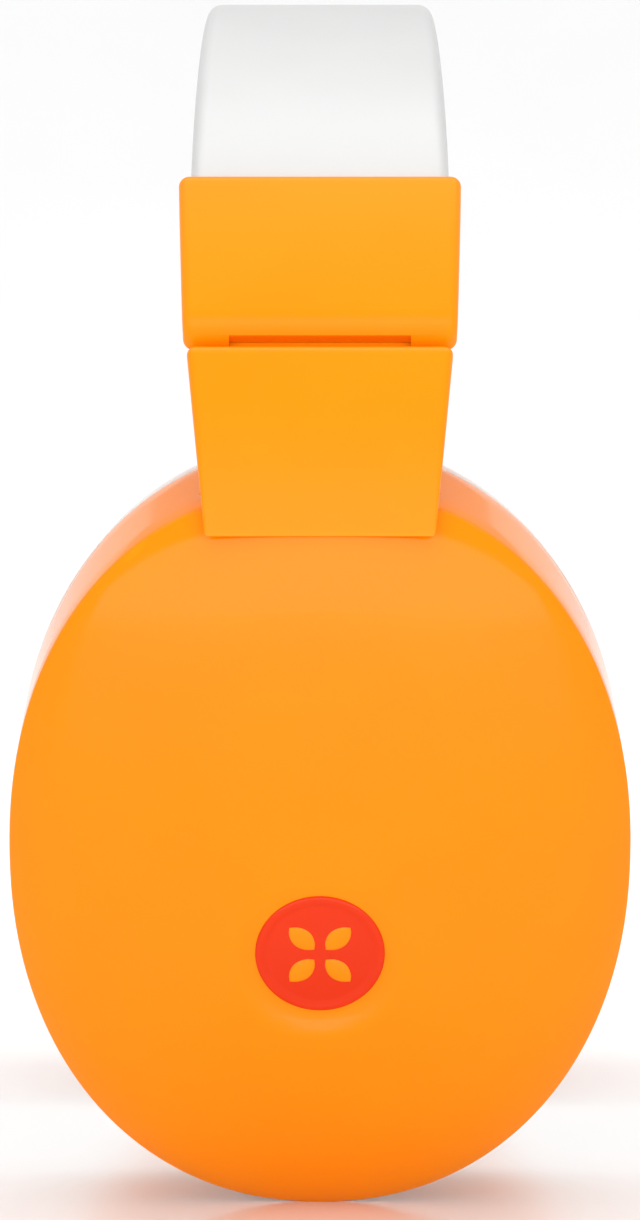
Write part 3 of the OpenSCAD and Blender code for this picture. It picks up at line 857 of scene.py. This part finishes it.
def ear_cushion():
    outer, inner = 2.2, -1.2
    profile = [(0, CUSHION_TOP - 0.4), (0, -5.5), (0.6, -8.5), (2.4, -10.8), (5.0, -12.0)]
    rings = [oval_ring(CUP_W - 2 * (d + outer), CUP_H - 2 * (d + outer), u, 96) for d, u in profile]
    hole = [(5.0, -12.0), (2.2, -10.8), (0.6, -8.5), (0, -5.5), (0, CUSHION_TOP - 0.4)]
    rings += [oval_ring(HOLE_W + 2 * (d - inner), HOLE_H + 2 * (d - inner), u, 96) for d, u in hole]
    obj = add_mesh("ear_cushion", *skin_rings(rings, close=True))
    c, s = math.cos(CUP_TILT), math.sin(CUP_TILT)

    def local_u(p):
        return (p.x - RIM_X) * c - (p.z - RIM_Z) * s

    inflate(obj, 4.0, lambda p: local_u(p) > CUSHION_TOP - 1.6, 2.0)
    lowest, highest = CUSHION_LOW, CUSHION_TOP - 0.05
    normals = [v.normal.copy() for v in obj.data.vertices]
    for v, normal in zip(obj.data.vertices, normals):
        p = v.co / MM
        u = local_u(p)
        w = (p.x - RIM_X) * s + (p.z - RIM_Z) * c
        a = math.atan2(w, p.y)
        fold = noise.noise(Vector((5.5 * math.cos(a), 5.5 * math.sin(a), u * 0.08)))
        reach = min(1.0, max(0.0, (u - lowest) / 4)) * min(1.0, max(0.0, (highest - u) / 2))
        v.co += normal * (0.3 * fold * reach) * MM
        p = v.co / MM
        u = local_u(p)
        limit = min(max(u, lowest), highest)
        v.co += Vector((c, 0, -s)) * (limit - u) * MM
    return obj


def welt(name, width, height, u, radius):
    """A thin piping cord round an oval of a cup."""
    n, m = 240, 10
    rings = []
    for i in range(n):
        t = 2 * math.pi * i / n
        y, w = oval(t, width, height)
        y2, w2 = oval(t + 0.01, width, height)
        out = Vector((w2 - w, -(y2 - y))).normalized()
        ring = []
        for j in range(m):
            b = 2 * math.pi * j / m
            ring.append(cup_point(y + out.x * radius * math.cos(b), w + out.y * radius * math.cos(b),
                                  u + radius * math.sin(b)))
        rings.append(ring)
    return smooth(add_mesh(name, *skin_rings(rings, close=True)), 180)


def headband_pad():
    half_a = 90 - PAD_END
    rings = []
    steps = 60
    for i in range(steps + 1):
        t = -1 + 2 * i / steps
        a = 90 + half_a * 0.975 * t
        end = math.sqrt(max(0.0, 1 - max(0.0, (abs(t) - 0.93) / 0.07) ** 2))
        half_w = PAD_W / 2 - 1.2 - 2.2 * (1 - end)
        low = PAD_LOW + 1.1 + 1.2 * (1 - end)
        top = PAD_TOP - 0.2
        ring = []
        for j in range(28):
            b = 2 * math.pi * j / 28
            cy, cz = math.cos(b), math.sin(b)
            y = half_w * math.copysign(abs(cy) ** 0.35, cy)
            r = (top + low) / 2 + (top - low) / 2 * math.copysign(abs(cz) ** 0.6, cz)
            ring.append(arch_point(r, a, y))
        rings.append(ring)
    obj = add_mesh("headband_pad_look", *skin_rings(rings, caps=True))

    def radius(p):
        return math.hypot(p.x, p.z - ARCH_Z)

    inflate(obj, 2.4, lambda p: radius(p) > PAD_TOP - 1.2, 1.3)
    normals = [v.normal.copy() for v in obj.data.vertices]
    for v, normal in zip(obj.data.vertices, normals):
        p = v.co / MM
        r = radius(p)
        along = math.radians(90 - math.degrees(math.atan2(p.z - ARCH_Z, p.x))) * PAD_LOW
        if r < PAD_LOW + 2.5:
            gap = seam_gap(along, p.y)
            v.co -= normal * (0.55 * math.exp(-(gap / 0.9) ** 2)) * MM
        v.co += normal * (0.12 * noise.noise(Vector((along, p.y, r)) * 0.22)) * MM
        p = v.co / MM
        r = radius(p)
        if r > PAD_TOP - 0.02:
            v.co = arch_point(PAD_TOP - 0.02, math.degrees(math.atan2(p.z - ARCH_Z, p.x)), p.y)
    return obj


def seam_half():
    return math.radians(90 - PAD_END) * PAD_LOW - SEAM_IN, PAD_W / 2 - SEAM_IN


def seam_gap(along, y):
    """How far a point of the pad's lower face is from its sewn line."""
    ha, hw = seam_half()
    dx, dy = abs(along) - ha, abs(y) - hw
    if dx < 0 and dy < 0:
        return min(-dx, -dy)
    return math.hypot(max(dx, 0), max(dy, 0))


def stitches(pad):
    """Threads along the sewn line, each one laid on the pad below it."""
    tree = BVHTree.FromObject(pad, bpy.context.evaluated_depsgraph_get())
    ha, hw = seam_half()
    pitch, length, thick = 3.1, 2.1, 0.24
    spots = []
    for count, run, place in ((int(2 * ha / pitch), 2 * ha, lambda s: [(s, hw, 1, 0), (s, -hw, 1, 0)]),
                              (int(2 * hw / pitch), 2 * hw, lambda s: [(ha, s, 0, 1), (-ha, s, 0, 1)])):
        step = run / count
        for i in range(count):
            spots += place(-run / 2 + step * (i + 0.5))
    verts, faces = [], []
    for along, y, da, dy in spots:
        rings = []
        for k in range(7):
            t = -1 + k / 3
            s, v = along + da * t * length / 2, y + dy * t * length / 2
            a = 90 - math.degrees(s / PAD_LOW)
            hit = tree.ray_cast(arch_point(70, a, v), arch_point(1, a, v) - arch_point(0, a, v))[0]
            if hit is None:
                break
            base = hit / MM
            r = math.hypot(base.x, base.z - ARCH_Z) - 0.12 * (1 - t * t) + 0.14 * t ** 6
            girth = thick * math.sqrt(max(0.05, 1 - t ** 4))
            ring = []
            for j in range(8):
                b = 2 * math.pi * j / 8
                side, up = girth * math.cos(b), girth * math.sin(b)
                ring.append(arch_point(r + up, 90 - math.degrees((s + dy * side) / PAD_LOW), v + da * side))
            rings.append(ring)
        if len(rings) == 7:
            vs, fs = skin_rings(rings, caps=True)
            faces += [[i + len(verts) for i in face] for face in fs]
            verts += vs
    return smooth(add_mesh("headband_pad_stitches", verts, faces), 60)


pair(ear_cushion(), "cup", "cushion_white", "ear_cushion", padded=PAD_FILL)
pair(welt("cushion_welt", CUP_W - 2.6, CUP_H - 2.6, -4.0, 0.55), "cup", "cushion_white")
pad = headband_pad()
dress(pad, "pad_white")
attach(pad, "headband")
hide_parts("headband_pad")
thread = stitches(pad)
dress(thread, "pad_white")
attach(thread, "headband")

# ---------------------------------------------------------------- floor, lights and camera


def floor():
    """A pale round studio floor, in metres, that curves up into a low wall on every side."""
    flat, bend = 0.9, 1.9
    profile = [(r, 0) for r in (0.05, 0.3, 0.6, flat)]
    for a in range(4, 61, 4):
        profile.append((flat + bend * math.sin(math.radians(a)), bend - bend * math.cos(math.radians(a))))
    n = 96
    around = [2 * math.pi * i / n for i in range(n)]
    rings = [[Vector((0, 0, 0))]]
    rings += [[Vector((r * math.cos(t), r * math.sin(t), z)) for t in around] for r, z in profile]
    obj = add_mesh("floor", *skin_rings(rings))
    obj.data.shade_smooth()
    s = Shader("floor_pale", 0.22, Specular_IOR_Level=0.4)
    s.colour(s.ramp(s.noise(6, 2), [(0.3, (0.88, 0.88, 0.88)), (0.7, (0.90, 0.90, 0.90))]))
    obj.data.materials.append(s.material)
    return obj


floor()


def softbox(name, place, target, size_x, size_y, power):
    data = bpy.data.lights.new(name, "AREA")
    data.shape = "RECTANGLE"
    data.size, data.size_y = size_x, size_y
    data.energy = power
    light = bpy.data.objects.new(name, data)
    light.location = place
    light.rotation_euler = (Vector(target) - Vector(place)).to_track_quat("-Z", "Y").to_euler()
    light.visible_camera = False
    bpy.context.scene.collection.objects.link(light)
    return light


softbox("top_box", (0.25, 0, 1.5), (0.05, 0, 0.08), 1.6, 1.2, 6)
softbox("front_box", (1.1, 0, 0.24), (0, 0, 0.07), 2.8, 0.44, 7)
softbox("back_box", (-0.2, 0, 1.3), (-1.6, 0, 0.5), 2.2, 0.8, 22)
softbox("far_box", (1.2, 0, 1.3), (2.4, 0, 0.1), 2.2, 0.8, 20)

WORLD_STRENGTH = 0.6
world = bpy.data.worlds.new("studio")
world.use_nodes = True
background = world.node_tree.nodes["Background"]
background.inputs["Color"].default_value = (1.0, 1.0, 1.0, 1)
background.inputs["Strength"].default_value = WORLD_STRENGTH
bpy.context.scene.world = world
bpy.context.scene.view_settings.view_transform = "Standard"

ELEVATION = math.radians(2.56)
DISTANCE = 0.7007
LENS, SENSOR = 138.7, 36
AIM = Vector((0, 0, 0.0787))
camera = bpy.data.objects.new("camera", bpy.data.cameras.new("camera"))
camera.data.lens = LENS
camera.data.sensor_width = SENSOR
camera.location = AIM + DISTANCE * Vector((math.cos(ELEVATION), 0, math.sin(ELEVATION)))
camera.rotation_euler = (AIM - camera.location).to_track_quat("-Z", "Y").to_euler()
bpy.context.scene.collection.objects.link(camera)
bpy.context.scene.camera = camera
